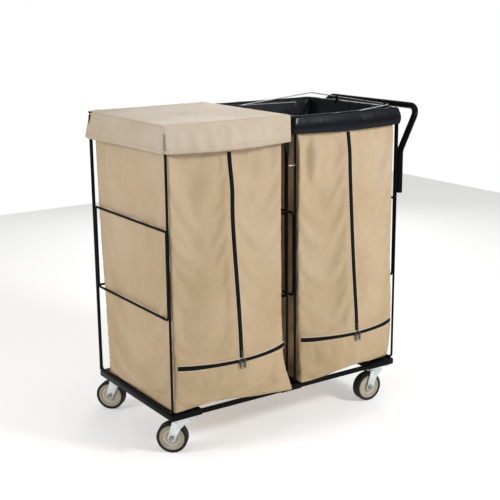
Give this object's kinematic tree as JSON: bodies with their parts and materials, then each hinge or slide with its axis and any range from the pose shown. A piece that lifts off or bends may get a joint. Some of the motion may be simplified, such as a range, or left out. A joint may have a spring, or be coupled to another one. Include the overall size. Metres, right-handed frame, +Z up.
{
  "type": "laundry sorter cart",
  "caption": "Rolling laundry sorter: a rod frame on swivel casters with zip-front canvas bags, a hinged fabric lid, a wire liner retainer and a push handle.",
  "frame": {"origin": "on the floor, below the middle of the overall footprint", "axes": "+X along the front from the lidded bay towards the push handle, +Y from the zip fronts to the back, +Z up"},
  "size_m": [1.0338, 0.6108, 1.0689],
  "materials": {
    "frame_black": "semi-gloss powder coat",
    "handle_black": "semi-gloss powder coat",
    "bolt_zinc": "bright zinc plate",
    "canvas_tan": "heavy woven canvas",
    "lid_canvas_tan": "heavy woven canvas",
    "liner_black": "coated cloth, glossy",
    "zip_black": "woven zip tape",
    "zip_metal": "nickel",
    "lid_wire_black": "powder coat",
    "clip_black": "moulded",
    "retainer_wire": "plated wire",
    "caster_zinc": "zinc plate",
    "wheel_grey": "moulded",
    "tyre_black": "matt rubber"
  },
  "bodies": {
    "root": {"base_channel_left": "frame_black", "base_channel_right": "frame_black", "base_channel_middle": "frame_black", "base_rail_front": "frame_black", "base_rail_rear": "frame_black", "side_hoop_left": "frame_black", "side_hoop_middle_left": "frame_black", "side_hoop_middle_right": "frame_black", "side_hoop_right": "frame_black", "rear_hoop": "frame_black", "rear_cross_rod": "frame_black", "rim_rods": "frame_black", "side_cross_rods": "frame_black", "inner_hoop_left": "frame_black", "inner_hoop_middle_left": "frame_black", "inner_hoop_middle_right": "frame_black", "inner_hoop_right": "frame_black", "spacer_bolts": "bolt_zinc", "caster_fasteners": "bolt_zinc", "kingpins": "bolt_zinc", "push_handle": "handle_black", "bag_left": "canvas_tan", "bag_right": "canvas_tan", "liner_left": "liner_black", "liner_right": "liner_black", "zip_tape_left": "zip_black", "zip_tape_right": "zip_black", "cross_zip_tape_left": "zip_black", "cross_zip_tape_right": "zip_black", "retainer_clips": "clip_black", "caster_plate_1": "caster_zinc", "caster_plate_2": "caster_zinc", "caster_plate_3": "caster_zinc", "caster_plate_4": "caster_zinc"},
    "swivel_1": {"fork_1": "caster_zinc", "axle_1": "caster_zinc"},
    "wheel_1": {"wheel_core_1": "wheel_grey", "tyre_1": "tyre_black"},
    "swivel_2": {"fork_2": "caster_zinc", "axle_2": "caster_zinc"},
    "wheel_2": {"wheel_core_2": "wheel_grey", "tyre_2": "tyre_black"},
    "swivel_3": {"fork_3": "caster_zinc", "axle_3": "caster_zinc"},
    "wheel_3": {"wheel_core_3": "wheel_grey", "tyre_3": "tyre_black"},
    "swivel_4": {"fork_4": "caster_zinc", "axle_4": "caster_zinc"},
    "wheel_4": {"wheel_core_4": "wheel_grey", "tyre_4": "tyre_black"},
    "lid": {"lid_frame": "lid_wire_black", "lid_cover": "lid_canvas_tan", "lid_hinge_clips": "clip_black"},
    "retainer": {"liner_retainer": "retainer_wire"},
    "zip_slider_left": {"zip_slider_left": "zip_metal"},
    "zip_slider_right": {"zip_slider_right": "zip_metal"},
    "cross_slider_left_a": {"cross_slider_left_a": "zip_metal"},
    "cross_slider_left_b": {"cross_slider_left_b": "zip_metal"},
    "cross_slider_right_a": {"cross_slider_right_a": "zip_metal"},
    "cross_slider_right_b": {"cross_slider_right_b": "zip_metal"}
  },
  "joints": [
    {"name": "swivel_1", "type": "hinge", "parent": "root", "child": "swivel_1", "pos_m": [-0.4436, -0.2048, 0.111], "axis": [0, 0, 1], "continuous": true},
    {"name": "roll_1", "type": "hinge", "parent": "swivel_1", "child": "wheel_1", "pos_m": [-0.46891, -0.18209, 0.0508], "axis": [-0.6678, -0.7443, 0], "continuous": true},
    {"name": "swivel_2", "type": "hinge", "parent": "root", "child": "swivel_2", "pos_m": [-0.4436, 0.2332, 0.111], "axis": [0, 0, 1], "continuous": true},
    {"name": "roll_2", "type": "hinge", "parent": "swivel_2", "child": "wheel_2", "pos_m": [-0.4664, 0.25843, 0.0508], "axis": [-0.742, -0.6704, 0], "continuous": true},
    {"name": "swivel_3", "type": "hinge", "parent": "root", "child": "swivel_3", "pos_m": [0.3604, -0.2048, 0.111], "axis": [0, 0, 1], "continuous": true},
    {"name": "roll_3", "type": "hinge", "parent": "swivel_3", "child": "wheel_3", "pos_m": [0.32648, -0.20249, 0.0508], "axis": [-0.068, -0.9977, 0], "continuous": true},
    {"name": "swivel_4", "type": "hinge", "parent": "root", "child": "swivel_4", "pos_m": [0.3604, 0.2332, 0.111], "axis": [0, 0, 1], "continuous": true},
    {"name": "roll_4", "type": "hinge", "parent": "swivel_4", "child": "wheel_4", "pos_m": [0.32845, 0.24483, 0.0508], "axis": [-0.342, -0.9397, 0], "continuous": true},
    {"name": "lid_hinge", "type": "hinge", "parent": "root", "child": "lid", "pos_m": [-0.2746, 0.2719, 1.043], "axis": [-1, 0, 0], "range_deg": [0, 110]},
    {"name": "retainer_hinge", "type": "hinge", "parent": "root", "child": "retainer", "pos_m": [0.4084, -0.1963, 1.0573], "axis": [0, 0.9998, 0.0222], "range_deg": [0, 100]},
    {"name": "zip_left", "type": "slide", "parent": "root", "child": "zip_slider_left", "axis": [0, 0.0931, 0.9957], "range_m": [0, 0.6]},
    {"name": "zip_right", "type": "slide", "parent": "root", "child": "zip_slider_right", "axis": [0, 0.0931, 0.9957], "range_m": [0, 0.6]},
    {"name": "cross_zip_left_a", "type": "hinge", "parent": "root", "child": "cross_slider_left_a", "pos_m": [-0.2751, 0.10822, 0.3], "axis": [0, 0, -1], "range_deg": [0, 27]},
    {"name": "cross_zip_left_b", "type": "hinge", "parent": "root", "child": "cross_slider_left_b", "pos_m": [-0.2751, 0.10822, 0.3], "axis": [0, 0, 1], "range_deg": [0, 27]},
    {"name": "cross_zip_right_a", "type": "hinge", "parent": "root", "child": "cross_slider_right_a", "pos_m": [0.1969, 0.09104, 0.3], "axis": [0, 0, -1], "range_deg": [0, 27]},
    {"name": "cross_zip_right_b", "type": "hinge", "parent": "root", "child": "cross_slider_right_b", "pos_m": [0.1969, 0.09104, 0.3], "axis": [0, 0, 1], "range_deg": [0, 27]}
  ]
}
